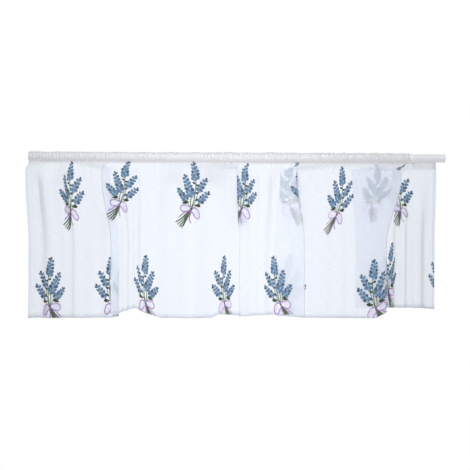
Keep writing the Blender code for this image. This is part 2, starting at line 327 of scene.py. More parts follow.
# The petals of a spike, in millimetres. A petal is placed by how far down its
# pair's stretch it starts, its side, its share of the full length and its tilt.
PETAL_SIDES = 8
PETAL_RINGS = 6
PETAL_FOOT = -0.2
PETAL_FOOT_SHARE = (0.55, 0.7, 1.0)
PETAL_LONG = 13.0
PETAL_SHORT = 8.5
PETAL_GROWTH = 1.4
PETAL_SLIM = 0.66
PETAL_TILT = math.radians(48.0)
ROW_PITCH = 8.8
Petal = namedtuple("Petal", "later side share tilt")
PAIRED_PETALS = (Petal(0.35, -1.0, 1.0, -PETAL_TILT), Petal(0.75, 1.0, 1.0, PETAL_TILT))
MIDDLE_PETAL = Petal(0.75, 0.0, 0.9, 0.0)
PALE_PETAL = Petal(0.95, 0.3, 0.7, 0.3)
SPREAD_SHARE = 0.42
SPREAD_START = 0.45
SPREAD_GROWTH = 0.8
PALE_LIFT = 0.35
LAYER_LIFT = 0.12
RELIEF = 1.1
RIBBON_RADIUS = 1.5
RUN_FLATNESS = 0.5
CURVE_STEPS = 5
WELD_GAP = 0.001
FILL_LIFT = 0.55
MM = 0.001


def ease(value, start, end):
    """Smooth step from 0 at start to 1 at end, for numbers and arrays."""
    part = np.clip((value - start) / (end - start), 0.0, 1.0)
    return part * part * (3.0 - 2.0 * part)


def fold_places(lower):
    """Flat and shown places of every fold line, lower being 0 to 1."""
    flat = np.array([f.flat_top + (f.flat_hem - f.flat_top) * lower for f in FOLD_LINES])
    shown = np.array([f.shown_top + (f.shown_hem - f.shown_top) * lower for f in FOLD_LINES])
    return flat, shown


def turn_heading(flat, places, backward):
    """Heading of the cloth seen from above: 0 along the rod, pi or -pi back along it."""
    heading = np.zeros_like(flat)
    for index, is_back in enumerate(backward):
        if not is_back:
            continue
        turn = math.copysign(math.pi, FOLD_LINES[index + 1].depth - FOLD_LINES[index].depth)
        for place, way in ((places[index], turn), (places[index + 1], -turn)):
            heading += way * np.clip((flat - place) / TURN_LENGTH + 0.5, 0.0, 1.0)
    return heading


def wave_window(flat, start, end, clear_start, clear_end):
    """Envelope of the waves in one stretch, quiet where layers lie close."""
    rise = np.clip((flat - start - clear_start) / TURN_LENGTH, 0.0, 1.0)
    fall = np.clip((end - clear_end - flat) / TURN_LENGTH, 0.0, 1.0)
    return np.minimum(rise, fall)


def wave_angle(base, wave, step, travel):
    """Size of the waves that brings a stretch to its shown travel."""
    low, high = 0.0, STEEPEST_WAVE
    for _ in range(WAVE_HALVINGS):
        middle = (low + high) / 2.0
        reach = float(np.sum(np.cos(base + middle * wave)) * step)
        if reach > travel:
            low = middle
        else:
            high = middle
    return (low + high) / 2.0


def follow_heading(flat, heading, places, shown):
    """X and Y of a line with a given heading, brought to the fold lines' places."""
    step = flat[1] - flat[0]
    x = np.concatenate(([0.0], np.cumsum(np.cos(heading[:-1]) * step)))
    y = np.concatenate(([0.0], np.cumsum(np.sin(heading[:-1]) * step)))
    depths = np.array([line.depth for line in FOLD_LINES])
    x = x + np.interp(flat, places, shown - np.interp(places, flat, x))
    y = y + np.interp(flat, places, depths - np.interp(places, flat, y))
    return x, y


def sloped_layers(flat, y, places, backward):
    """Depths with each pleat's layers replaced by one even slope."""
    sloped = y.copy()
    for index, is_back in enumerate(backward):
        if is_back:
            start = places[index] - TURN_LENGTH / 2.0
            end = places[index + 1] + TURN_LENGTH / 2.0
            inside = (flat > start) & (flat < end)
            ends = np.interp((start, end), flat, y)
            sloped[inside] = np.interp(flat[inside], (start, end), ends)
    return sloped


def plan_curve(lower):
    """The cloth seen from above: its pleats alone, then its pleats and waves."""
    places, shown = fold_places(lower)
    flat = np.linspace(0.0, FLAT_WIDTH, CURVE_SAMPLES)
    step = flat[1] - flat[0]
    backward = np.diff(shown) < 0.0
    heading = turn_heading(flat, places, backward)
    pleat_x, pleat_y = follow_heading(flat, heading, places, shown)
    sloped_y = sloped_layers(flat, pleat_y, places, backward)
    for index, is_back in enumerate(backward):
        waves = FOLD_LINES[index + 1].waves
        if is_back or waves == 0:
            continue
        start, end = places[index], places[index + 1]
        before = shown[index - 1] - shown[index] if index > 0 and backward[index - 1] else 0.0
        is_last = index + 1 >= len(backward)
        after = shown[index + 1] - shown[index + 2] if not is_last and backward[index + 1] else 0.0
        inside = (flat >= start) & (flat < end)
        first, last = start + before, end - after
        window = wave_window(flat, start, end, before, after)
        part = (flat - first) / (last - first)
        part = part + WAVE_UNEVEN * np.sin(2.0 * math.pi * part + index)
        wave = window * np.sin(2.0 * math.pi * waves * part)
        travel = shown[index + 1] - shown[index]
        angle = wave_angle(heading[inside], wave[inside], step, travel)
        heading = heading + np.where(inside, angle * wave, 0.0)
    full_x, full_y = follow_heading(flat, heading, places, shown)
    return flat, (pleat_x, pleat_y, sloped_y), (full_x - pleat_x, full_y - pleat_y)


def pocket_x(flat):
    """Where a flat place lies along the rod inside the pocket."""
    return np.interp(flat, [p.flat for p in POCKET_PLACES], [p.shown for p in POCKET_PLACES])


def hem_rise(flat):
    """Lift of the hem at a flat place."""
    return np.interp(flat, [h.flat for h in HEM_RISES], [h.rise for h in HEM_RISES])


def swings(flat, parts):
    """Each swing's value at a flat place, in their order."""
    return [part.size * np.sin(part.rate * flat + part.start) for part in parts]


def gather_phase(flat):
    """Uneven phase of the fine gathers along the pocket seam."""
    turns = flat / GATHER_PITCH
    for drift in swings(flat, GATHER_DRIFTS):
        turns = turns + drift
    return 2.0 * math.pi * turns


def gather_size(flat):
    """How strongly the pocket crowds the cloth at a flat place, about 1 where full."""
    slope = np.gradient(pocket_x(flat), flat)
    slow, quick = swings(flat, GATHER_BEATS)
    crowded = np.clip((1.0 - slope) / GATHER_FULL_AT, GATHER_LEAST, GATHER_MOST)
    return crowded * (GATHER_MEAN + slow * quick)


def level_line(level):
    """X, Y and Z of the whole cloth at one distance below the pocket seam."""
    lower = float(ease(level, LOWER_FOLDS_START, LOWER_FOLDS_END))
    flat, (pleat_x, pleat_y, sloped_y), (wave_x, wave_y) = plan_curve(lower)
    pleat = float(ease(level, 0.0, PLEAT_FULL_AT))
    parted = float(ease(pleat, LAYERS_PART_AT, 1.0))
    waves = WAVE_SHARE * float(ease(level, 0.0, WAVES_FULL_AT))
    x = pleat * pleat_x + (1.0 - pleat) * pocket_x(flat) + waves * wave_x
    y = (parted * pleat_y + (1.0 - parted) * sloped_y) * float(ease(level, 0.0, DEPTH_FULL_AT))
    y = y + waves * wave_y
    head = (1.0 - pleat) * ease(flat, POCKET_FLAT_END, POCKET_FLAT_END + BEHIND_ROD_START)
    y = y + head * (BEHIND_ROD - y)
    below = level - SEAM_HEIGHT + STITCH_HEIGHT
    fade = math.exp(-below / GATHER_FADE)
    wide = math.exp(-below / (WIDE_FADE * GATHER_FADE)) - fade
    phase = gather_phase(flat)
    y = y + GATHER_DEPTH * gather_size(flat) * fade * np.sin(phase)
    y = y + WIDE_GATHERS * GATHER_DEPTH * wide * np.sin(0.5 * phase + WIDE_START)
    z = SEAM_HEIGHT - level * (1.0 - hem_rise(flat) / BODY_DROP)
    return flat, x, y, z


class HungCloth:
    """The hung sheet as rows of points, read at any flat place and level."""

    def __init__(self, levels):
        rows = [level_line(level) for level in levels]
        self.levels = np.array(levels)
        self.flat = rows[0][0]
        self.rows = np.array([[x, y, z] for _, x, y, z in rows])

    def at(self, flat, level):
        """Points at arrays of flat places and levels."""
        flat = np.clip(flat, 0.0, FLAT_WIDTH)
        level = np.clip(level, self.levels[0], self.levels[-1])
        row = np.clip(np.searchsorted(self.levels, level) - 1, 0, len(self.levels) - 2)
        part = (level - self.levels[row]) / (self.levels[row + 1] - self.levels[row])
        place = flat / (self.flat[1] - self.flat[0])
        column = np.clip(place.astype(int), 0, len(self.flat) - 2)
        across = place - column
        near = self.rows[row, :, column] * (1.0 - across)[:, None]
        near = near + self.rows[row, :, column + 1] * across[:, None]
        far = self.rows[row + 1, :, column] * (1.0 - across)[:, None]
        far = far + self.rows[row + 1, :, column + 1] * across[:, None]
        return near * (1.0 - part)[:, None] + far * part[:, None]

    def lifted(self, flat, level, lift):
        """Points that stand off the cloth towards the viewer's side by lift."""
        reach = NORMAL_REACH
        flat = np.clip(flat, 0.0, FLAT_WIDTH)
        level = np.clip(level, self.levels[0], self.levels[-1])
        middle = self.at(flat, level)
        along = self.at(flat + reach, level) - self.at(flat - reach, level)
        down = self.at(flat, level + reach) - self.at(flat, level - reach)
        normal = np.cross(down, along)
        normal = normal / np.linalg.norm(normal, axis=1)[:, None]
        return middle + normal * np.asarray(lift)[:, None]


def body_levels():
    """Levels of the sheet's rows, closer under the pocket."""
    top = np.linspace(SEAM_HEIGHT - STITCH_HEIGHT, CLOSE_ROWS_END, CLOSE_ROWS)
    rest = np.linspace(CLOSE_ROWS_END, BODY_DROP, OPEN_ROWS)[1:]
    return np.concatenate((top, rest))


def deselect_all():
    """Leave nothing selected, since an operator acts on all that is."""
    for item in bpy.context.selected_objects:
        item.select_set(False)


def pick(pieces):
    """Select these pieces alone, and make the first one active."""
    deselect_all()
    for piece in pieces:
        piece.select_set(True)
    bpy.context.view_layer.objects.active = pieces[0]


def mesh_points(piece):
    """The points of a mesh as rows of X, Y and Z."""
    points = np.empty(len(piece.data.vertices) * 3)
    piece.data.vertices.foreach_get("co", points)
    return points.reshape(-1, 3)


def turn_outwards(piece, weld=0.0):
    """Turn all faces of a closed shape outwards, its doubles merged first if asked."""
    pick([piece])
    bpy.ops.object.mode_set(mode="EDIT")
    bpy.ops.mesh.select_all(action="SELECT")
    if weld > 0.0:
        bpy.ops.mesh.remove_doubles(threshold=weld)
    bpy.ops.mesh.normals_make_consistent(inside=False)
    bpy.ops.object.mode_set(mode="OBJECT")


def new_mesh(name, points, faces, uvs):
    """A mesh object from arrays, with one UV place for each point."""
    data = bpy.data.meshes.new(name)
    data.from_pydata([tuple(p) for p in points], [], faces)
    layer = data.uv_layers.new(name="cloth")
    index = np.empty(len(data.loops), dtype=np.int32)
    data.loops.foreach_get("vertex_index", index)
    layer.data.foreach_set("uv", np.asarray(uvs, dtype=np.float32)[index].ravel())
    data.shade_smooth()
    piece = bpy.data.objects.new(name, data)
    bpy.context.scene.collection.objects.link(piece)
    return piece


def pocket_rows(flat):
    """Rows of the pocket from its back edge over the rod to the front seam."""
    tangent = math.acos(POCKET_RADIUS / -STITCH_HEIGHT)
    phase = gather_phase(flat)
    size = gather_size(flat)
    quick, slow = swings(flat, SWELL_BEATS)
    swell = 0.5 + quick * slow
    rows = []
    for step in range(POCKET_ROWS + 1):
        turn = 2.0 * math.pi * (1.0 - step / POCKET_ROWS)
        from_seam = min(turn, 2.0 * math.pi - turn)
        base = POCKET_RADIUS / math.cos(max(0.0, tangent - from_seam))
        sway = RIPPLE_SWAY.size * np.sin(2.0 * turn + RIPPLE_SWAY.rate * flat)
        ripple = 0.5 + 0.5 * np.sin(phase + sway)
        loose = math.sin(from_seam / 2.0) ** 0.5 if from_seam > 0.0 else 0.0
        reach = base + loose * (POCKET_RIPPLE * size * ripple + POCKET_SWELL * swell)
        side = -1.0 if turn < math.pi else 1.0
        y = side * reach * math.sin(from_seam)
        z = -reach * math.cos(from_seam)
        seam_y = GATHER_DEPTH * size * np.sin(phase)
        near_seam = float(1.0 - ease(from_seam, 0.0, SEAM_REACH))
        y = y + seam_y * near_seam + (BACK_LAYER if side > 0 else 0.0) * near_seam
        rows.append((pocket_x(flat), y, z))
    return rows


def flat_head_rows(flat):
    """The same rows where the head hangs flat behind the rod."""
    rows = []
    lift = ease(flat, POCKET_FLAT_END + BEHIND_ROD_START,
                POCKET_FLAT_END + BEHIND_ROD_START + BEHIND_ROD_RUN)
    top = STITCH_HEIGHT + HEAD_LOW_TOP + HEAD_RISE * lift
    behind = ease(flat, POCKET_FLAT_END, POCKET_FLAT_END + BEHIND_ROD_START)
    for step in range(POCKET_ROWS + 1):
        part = 1.0 - abs(2.0 * step / POCKET_ROWS - 1.0)
        is_back = step < POCKET_ROWS / 2.0
        thick = HEAD_THICKNESS if is_back else 0.0
        y = BEHIND_ROD * behind + thick * (1.0 - part * part)
        z = STITCH_HEIGHT + (top - STITCH_HEIGHT) * part
        rows.append((pocket_x(flat), y, z))
    return rows


def build_sheet(cloth):
    """The whole cloth in one surface: pocket, hung part and turned-up hem."""
    top_flat = np.linspace(0.0, FLAT_WIDTH, SHEET_COLUMNS)
    slit = int(np.searchsorted(top_flat, POCKET_FLAT_END))
    rows, places = [], []
    ring = pocket_rows(top_flat)
    head = flat_head_rows(top_flat)
    loop_length = 2.0 * math.pi * POCKET_RADIUS
    for step in range(POCKET_ROWS):
        row = np.empty((SHEET_COLUMNS, 3))
        for axis in range(3):
            ringed = np.broadcast_to(ring[step][axis], top_flat.shape)
            flattened = np.broadcast_to(head[step][axis], top_flat.shape)
            row[:, axis] = np.where(np.arange(SHEET_COLUMNS) < slit, ringed, flattened)
        rows.append(row)
        above = loop_length * (1.0 - step / POCKET_ROWS)
        places.append(np.column_stack((top_flat, np.full(SHEET_COLUMNS, above))))
    for level in cloth.levels:
        lower = float(ease(level, LOWER_FOLDS_START, LOWER_FOLDS_END))
        flat = np.interp(top_flat, fold_places(0.0)[0], fold_places(lower)[0])
        rows.append(cloth.at(flat, np.full(SHEET_COLUMNS, level)))
        places.append(np.column_stack((flat, np.full(SHEET_COLUMNS, -level))))
    for up in (HEM_FOLD, HEM_MIDDLE * HEM_TURN_UP, HEM_TURN_UP):
        level = np.full(SHEET_COLUMNS, BODY_DROP - up)
        gap = np.full(SHEET_COLUMNS, -HEM_GAP)
        rows.append(cloth.lifted(flat, level, gap))
        places.append(np.column_stack((flat, np.full(SHEET_COLUMNS, -BODY_DROP - up))))
    faces = []
    for row in range(len(rows) - 1):
        for column in range(SHEET_COLUMNS - 1):
            if column == slit - 1 and row < POCKET_ROWS:
                continue
            start = row * SHEET_COLUMNS + column
            below = start + SHEET_COLUMNS
            faces.append((start, below, below + 1, start + 1))
    return new_mesh("curtain_cloth", np.concatenate(rows), faces, np.concatenate(places))


def add_petal():
    """One satin-stitched petal, 1 mm long and pointing up, shaped from a ball."""
    deselect_all()
    bpy.ops.mesh.primitive_uv_sphere_add(
        segments=PETAL_SIDES, ring_count=PETAL_RINGS, radius=0.5)
    petal = bpy.context.object
    petal.name = "petal"
    bpy.ops.object.mode_set(mode="EDIT")
    bpy.ops.mesh.select_all(action="DESELECT")
    bpy.ops.object.mode_set(mode="OBJECT")
    for vert in petal.data.vertices:
        vert.select = vert.co.z < PETAL_FOOT
    bpy.ops.object.mode_set(mode="EDIT")
    bpy.ops.transform.resize(value=PETAL_FOOT_SHARE)
    bpy.ops.object.mode_set(mode="OBJECT")
    petal.data.shade_smooth()
    return petal


def stitched_copy(source, material_index, scale, turn, x, z, front):
    """A copy of a stitched shape, in its size and place on the flat cloth."""
    piece = source.copy()
    piece.data = source.data.copy()
    bpy.context.scene.collection.objects.link(piece)
    cos, sin = math.cos(turn), math.sin(turn)
    for vert in piece.data.vertices:
        across, up = vert.co.x * scale[0], vert.co.z * scale[2]
        vert.co.x = x + across * cos - up * sin
        vert.co.z = z + across * sin + up * cos
        vert.co.y = vert.co.y * scale[1] - front
    set_threads(piece, material_index)
    return piece


def petal_places(pairs, index):
    """Where the petals of a spike start, from its tip: a tip, pairs and strokes between."""
    places = [(0.0, 0.0, 1.0, 0.0, DARK_THREAD)]
    for pair in range(pairs):
        for petal in PAIRED_PETALS:
            is_dark = (pair + index + (petal.side > 0.0)) % 3 == 0
            tone = DARK_THREAD if is_dark else MID_THREAD
            part = (pair + petal.later) / pairs
            places.append((part, petal.side, petal.share, petal.tilt, tone))
        part = (pair + MIDDLE_PETAL.later) / pairs
        places.append((part, 0.0, MIDDLE_PETAL.share, 0.0, MID_THREAD))
        part = (pair + PALE_PETAL.later) / pairs
        side = PALE_PETAL.side * (-1.0) ** pair
        places.append((part, side, PALE_PETAL.share, PALE_PETAL.tilt, PALE_THREAD))
    return places


def spike_petals(source, spike, index):
    """The petals of one spike, narrow at its tip and wide at its foot."""
    along_x, along_z = spike.tip_x - spike.base_x, spike.tip_z - spike.base_z
    length = math.hypot(along_x, along_z)
    heading = math.atan2(-along_x, along_z)
    places = petal_places(round(length / ROW_PITCH), index)
    pieces = []
    for layer, (part, side, share, tilt, tone) in enumerate(places):
        grown = min(1.0, PETAL_GROWTH * part)
        size = share * (PETAL_SHORT + (PETAL_LONG - PETAL_SHORT) * grown)
        room = 0.5 * spike.width - SPREAD_SHARE * size
        spread = side * room * min(1.0, SPREAD_START + SPREAD_GROWTH * part)
        x = spike.tip_x - along_x * part + math.cos(heading) * spread
        z = spike.tip_z - along_z * part + math.sin(heading) * spread
        scale = (size * PETAL_SLIM, RELIEF, size)
        front = PALE_LIFT if tone == PALE_THREAD else LAYER_LIFT * (layer % 2)
        pieces.append(stitched_copy(source, tone, scale, heading - tilt, x, z, front))
    return pieces


def smooth_curve(name, dimensions, places, closed):
    """Curve data of one smooth spline through its places."""
    data = bpy.data.curves.new(name, "CURVE")
    data.dimensions = dimensions
    data.resolution_u = CURVE_STEPS
    spline = data.splines.new("BEZIER")
    spline.use_cyclic_u = closed
    spline.bezier_points.add(len(places) - 1)
    for point, place in zip(spline.bezier_points, places):
        point.co = place
        point.handle_left_type = "AUTO"
        point.handle_right_type = "AUTO"
    return data


def curve_to_mesh(data):
    """The closed mesh object that curve data becomes, its caps joined to its sides."""
    curve = bpy.data.objects.new(data.name, data)
    bpy.context.scene.collection.objects.link(curve)
    pick([curve])
    bpy.ops.object.convert(target="MESH")
    turn_outwards(bpy.context.object, weld=WELD_GAP)
    return bpy.context.object


def thread_run(name, points, radius, material_index, closed=False):
    """A run of stitches along points, as a thin flattened curve made a mesh."""
    data = smooth_curve(name, "3D", [(x, 0.0, z) for x, z in points], closed)
    data.bevel_depth = radius
    data.bevel_resolution = 1
    data.use_fill_caps = True
    run = curve_to_mesh(data)
    for vert in run.data.vertices:
        vert.co.y *= RUN_FLATNESS
    run.data.shade_smooth()
    set_threads(run, material_index)
    return run


def ribbon_fill(points, material_index):
    """The pale filling inside a loop of the bow, from a flat filled curve."""
    data = smooth_curve("loop_fill", "2D", [(x, z, 0.0) for x, z in points], True)
    data.fill_mode = "BOTH"
    data.extrude = FILL_LIFT
    fill = curve_to_mesh(data)
    for vert in fill.data.vertices:
        vert.co = (vert.co.x, -vert.co.z, vert.co.y)
    set_threads(fill, material_index)
    return fill


def set_threads(piece, material_index):
    """Give a stitched shape the bunch's threads and choose one for it."""
    piece.data.materials.clear()
    for material in THREADS:
        piece.data.materials.append(material)
    for face in piece.data.polygons:
        face.material_index = material_index


def build_bunch():
    """One embroidered bunch, flat, in millimetres, knot at the origin."""
    petal = add_petal()
    pieces = []
    for index, spike in enumerate(SPIKES):
        pieces.extend(spike_petals(petal, spike, index))
    for leaf in LEAVES:
        turn = math.radians(leaf.angle - 90.0)
        scale = (leaf.width, RELIEF, leaf.length)
        pieces.append(stitched_copy(petal, LEAF_THREAD, scale, turn, leaf.x, leaf.z, 0.0))
    for stem in STEMS:
        pieces.append(thread_run(stem.name, stem.points, stem.radius, STEM_THREAD))
    for index, (x, z) in enumerate(STALK_ENDS):
        bends = [(along * x, down * z) for along, down in STALK_BENDS]
        points = [(0, 1), *bends, (x, z)]
        thread = STALK_THREAD if index % 2 == 0 else STEM_THREAD
        pieces.append(thread_run("stalk", points, STALK_RADIUS, thread))
    for ribbon in RIBBONS:
        pieces.append(thread_run(ribbon.name, ribbon.points, RIBBON_RADIUS, LILAC_THREAD,
                                 closed=ribbon.filled))
        if ribbon.filled:
            pieces.append(ribbon_fill(ribbon.points, PINK_THREAD))
    pieces.append(stitched_copy(petal, STALK_THREAD, KNOT_SIZE, 0.0, *KNOT_PLACE))
    bpy.data.objects.remove(petal, do_unlink=True)
    pick(pieces)
    bpy.ops.object.join()
    bunch = bpy.context.object
    bunch.name = "bunch"
    return bunch


def cut_beyond(bunch, point, normal):
    """Cut away what of a bunch lies beyond the cloth's edge, and close each shape."""
    pick([bunch])
    bpy.ops.object.mode_set(mode="EDIT")
    bpy.ops.mesh.select_all(action="SELECT")
    bpy.ops.mesh.bisect(plane_co=point, plane_no=normal, clear_outer=True)
    bpy.ops.object.mode_set(mode="OBJECT")
    faces = bunch.data.polygons
    kept = len(faces)
    threads = {corner: face.material_index for face in faces for corner in face.vertices}
    bpy.ops.object.mode_set(mode="EDIT")
    bpy.ops.mesh.select_all(action="SELECT")
    bpy.ops.mesh.fill_holes(sides=0)
    bpy.ops.object.mode_set(mode="OBJECT")
    for face in bunch.data.polygons[kept:]:
        face.material_index = threads[face.vertices[0]]


def lay_bunch(source, row, place, cloth):
    """A copy of the bunch in its place on the hung cloth, mirrored where side is -1."""
    bunch = source.copy()
    bunch.data = source.data.copy()
    bunch.name = f"bunch_{row.name}_{place.number + 1}"
    bunch.data.name = bunch.name
    bpy.context.scene.collection.objects.link(bunch)
    flat = row.first + place.number * BUNCH_PITCH + place.along * MM
    level = row.below + place.below * MM
    hem_at = -(BODY_DROP - level - EDGE_MARGIN) / MM / place.tall
    if hem_at > -CUT_REACH:
        cut_beyond(bunch, (0.0, 0.0, hem_at), (0.0, 0.0, -1.0))
    edge_at = (FLAT_WIDTH - flat - EDGE_MARGIN) / MM / place.wide
    if edge_at < CUT_REACH:
        cut_beyond(bunch, (row.side * edge_at, 0.0, 0.0), (row.side, 0.0, 0.0))
    points = mesh_points(bunch)
    lean = math.radians(place.lean)
    x = row.side * points[:, 0] * place.wide
    z = points[:, 2] * place.tall
    across = x * math.cos(lean) - z * math.sin(lean)
    up = x * math.sin(lean) + z * math.cos(lean)
    laid = cloth.lifted(flat + across * MM, level - up * MM, -points[:, 1] * MM)
    bunch.data.vertices.foreach_set("co", laid.ravel())
    turn_outwards(bunch)
    return bunch


def lay_stitches(name, start, end, thread, cloth):
    """A row of running stitches on the cloth, between two flat places and levels."""
    run = np.array(end) - np.array(start)
    length = float(np.hypot(*run))
    deselect_all()
    bpy.ops.mesh.primitive_uv_sphere_add(segments=6, ring_count=3, radius=0.5)
    row = bpy.context.object
    row.name = name
    bpy.ops.object.mode_set(mode="EDIT")
    bpy.ops.mesh.select_all(action="SELECT")
    bpy.ops.transform.rotate(value=math.pi / 2.0, orient_axis="Y")
    bpy.ops.transform.resize(value=(STITCH_LENGTH, STITCH_WIDTH, STITCH_WIDTH))
    bpy.ops.object.mode_set(mode="OBJECT")
    repeat = row.modifiers.new("row", "ARRAY")
    repeat.use_relative_offset = False
    repeat.use_constant_offset = True
    repeat.constant_offset_displace = (STITCH_PITCH, 0.0, 0.0)
    repeat.count = int(length / STITCH_PITCH)
    bpy.ops.object.convert(target="MESH")
    row = bpy.context.object
    points = mesh_points(row)
    along, across = run / length, np.array((-run[1], run[0])) / length
    flat = start[0] + points[:, 0] * along[0] + points[:, 2] * across[0]
    level = start[1] + points[:, 0] * along[1] + points[:, 2] * across[1]
    laid = cloth.lifted(flat, level, points[:, 1])
    row.data.vertices.foreach_set("co", laid.ravel())
    row.data.materials.append(thread)
    row.data.shade_smooth()
    turn_outwards(row)
    return row


def sew(cloth):
    """The stitches of the rod pocket, the hem and the two side hems."""
    thread, _, _ = plain_shader("sewing_thread", SEWING_TINT, 0.6)
    seam = cloth.levels[0] + BELOW_SEAM
    hem = BODY_DROP - HEM_TURN_UP
    first, last = ROW_END, FLAT_WIDTH - ROW_END
    left = SIDE_HEM - SIDE_ROW_INSET
    right = FLAT_WIDTH - SIDE_HEM + SIDE_ROW_INSET
    rows = (
        ("pocket_stitches", (first, seam), (last, seam)),
        ("hem_stitches", (first, hem), (last, hem)),
        ("left_hem_stitches", (left, seam + SIDE_ROW_START), (left, hem)),
        ("right_hem_stitches", (right, seam + SIDE_ROW_START), (right, hem)),
    )
    return [lay_stitches(name, start, end, thread, cloth) for name, start, end in rows]


def node(tree, kind, **values):
    """A new shader node with its named settings."""
    item = tree.nodes.new(kind)
    for name, value in values.items():
        setattr(item, name, value)
    return item


def plain_shader(name, colour, roughness):
    """A material whose Principled shader has its steady values set."""
    material = bpy.data.materials.new(name)
    material.use_nodes = True
    shader = material.node_tree.nodes["Principled BSDF"]
    shader.inputs["Base Color"].default_value = (*colour, 1.0)
    shader.inputs["Roughness"].default_value = roughness
    return material, material.node_tree, shader


def maths(tree, operation, *values, clamp=False):
    """The result of a Math node, whose inputs are other results or steady numbers."""
    item = node(tree, "ShaderNodeMath", operation=operation, use_clamp=clamp)
    for socket, value in zip(item.inputs, values):
        if isinstance(value, bpy.types.NodeSocket):
            tree.links.new(value, socket)
        else:
            socket.default_value = value
    return item.outputs[0]


def noise_texture(tree, place, scale, detail):
    """Soft noise at a place."""
    noise = node(tree, "ShaderNodeTexNoise")
    noise.inputs["Scale"].default_value = scale
    noise.inputs["Detail"].default_value = detail
    tree.links.new(place, noise.inputs["Vector"])
    return noise.outputs["Fac"]


def colour_ramp(tree, factor, colours, ends=(0.0, 1.0)):
    """Two colours blended by a factor between its ends."""
    ramp = node(tree, "ShaderNodeValToRGB")
    for element, colour, end in zip(ramp.color_ramp.elements, colours, ends):
        element.color = (*colour, 1.0)
        element.position = end
    tree.links.new(factor, ramp.inputs[0])
    return ramp.outputs[0]


def add_bump(tree, shader, height, strength, distance, facing=None):
    """Bump from a height, on the surface's own normal or the one given."""
    bump = node(tree, "ShaderNodeBump")
    bump.inputs["Strength"].default_value = strength
    bump.inputs["Distance"].default_value = distance
    tree.links.new(height, bump.inputs["Height"])
    if facing is not None:
        tree.links.new(facing, bump.inputs["Normal"])
    tree.links.new(bump.outputs[0], shader.inputs["Normal"])


def softened_normal(tree, above):
    """The normal with little turn across the folds, since light comes through voile."""
    surface = node(tree, "ShaderNodeNewGeometry")
    share = node(tree, "ShaderNodeMix", data_type="VECTOR")
    share.inputs["A"].default_value = (FOLD_SHADING, 1.0, 1.0)
    share.inputs["B"].default_value = (1.0, 1.0, 1.0)
    tree.links.new(above, share.inputs["Factor"])
    turned = node(tree, "ShaderNodeVectorMath", operation="MULTIPLY")
    tree.links.new(surface.outputs["Normal"], turned.inputs[0])
    tree.links.new(share.outputs["Result"], turned.inputs[1])
    facing = node(tree, "ShaderNodeVectorMath", operation="NORMALIZE")
    tree.links.new(turned.outputs["Vector"], facing.inputs[0])
    return facing.outputs["Vector"]


def voile_material():
    """Sheer voile: a fine open weave with slubs, denser at its side hems, with painted shade on
    the pocket.
    """
    material, tree, shader = plain_shader("sheer_voile", (0.82, 0.86, 0.94), 0.85)
    uv = node(tree, "ShaderNodeUVMap", uv_map="cloth")
    split = node(tree, "ShaderNodeSeparateXYZ")
    tree.links.new(uv.outputs["UV"], split.inputs[0])
    threads = []
    for axis in ("X", "Y"):
        turns = maths(tree, "MULTIPLY", split.outputs[axis], math.pi / WEAVE_PITCH)
        threads.append(maths(tree, "ABSOLUTE", maths(tree, "SINE", turns)))
    weave = maths(tree, "MAXIMUM", threads[0], threads[1])
    stretch = node(tree, "ShaderNodeMapping")
    stretch.inputs["Scale"].default_value = SLUB_STRETCH
    tree.links.new(uv.outputs["UV"], stretch.inputs["Vector"])
    slubs = noise_texture(tree, stretch.outputs[0], 1.0, 3.0)
    woven = maths(tree, "MULTIPLY_ADD", weave, WEAVE_COVER, OPEN_COVER)
    sheer = maths(tree, "MULTIPLY_ADD", slubs, SLUB_COVER, woven)
    middle = FLAT_WIDTH / 2.0
    inside = maths(tree, "COMPARE", split.outputs["X"], middle, middle - SIDE_HEM)
    doubled = maths(tree, "MULTIPLY_ADD", inside, -HEM_DENSER, HEM_DENSER, clamp=True)
    cover = maths(tree, "ADD", sheer, doubled, clamp=True)
    tree.links.new(cover, shader.inputs["Alpha"])
    tint = colour_ramp(tree, slubs, VOILE_TINTS, (0.3, 0.7))
    # Above the seam the pocket takes the darker tint: painted shade.
    above = maths(tree, "GREATER_THAN", split.outputs["Y"], 0.0)
    body = node(tree, "ShaderNodeMix", data_type="RGBA")
    body.inputs["B"].default_value = POCKET_SHADED_TINT
    tree.links.new(above, body.inputs["Factor"])
    tree.links.new(tint, body.inputs["A"])
    tree.links.new(body.outputs["Result"], shader.inputs["Base Color"])
    add_bump(tree, shader, weave, 0.25, 0.0002, softened_normal(tree, above))
    shader.inputs["Sheen Weight"].default_value = 0.15
    shader.inputs["Specular IOR Level"].default_value = 0.2
    return material


def thread_material(name, dark, light):
    """Satin stitches: close parallel threads, with painted shade in the grooves between stitch
    rows and tone that varies at random in patches.
    """
    material, tree, shader = plain_shader(name, light, 0.5)
    place = node(tree, "ShaderNodeTexCoord").outputs["Object"]
    stitches = node(tree, "ShaderNodeTexWave", bands_direction="DIAGONAL")
    stitches.inputs["Scale"].default_value = 330.0
    stitches.inputs["Distortion"].default_value = 2.5
    stitches.inputs["Detail"].default_value = 1.0
    tree.links.new(place, stitches.inputs["Vector"])
    patches = node(tree, "ShaderNodeMapRange")
    patches.inputs["From Min"].default_value = 0.35
    patches.inputs["From Max"].default_value = 0.65
    patches.inputs["To Max"].default_value = 0.55
    tree.links.new(noise_texture(tree, place, 260.0, 3.0), patches.inputs["Value"])
    # The stitch rows darken the colour in their grooves, which is painted shade; the noise patches
    # are random tone.
    rows = stitches.outputs["Fac"]
    tone = maths(tree, "MULTIPLY_ADD", rows, 0.45, patches.outputs[0])
    tree.links.new(colour_ramp(tree, tone, (dark, light)), shader.inputs["Base Color"])
    add_bump(tree, shader, rows, 0.6, 0.0003)
    shader.inputs["Sheen Weight"].default_value = 0.2
    return material


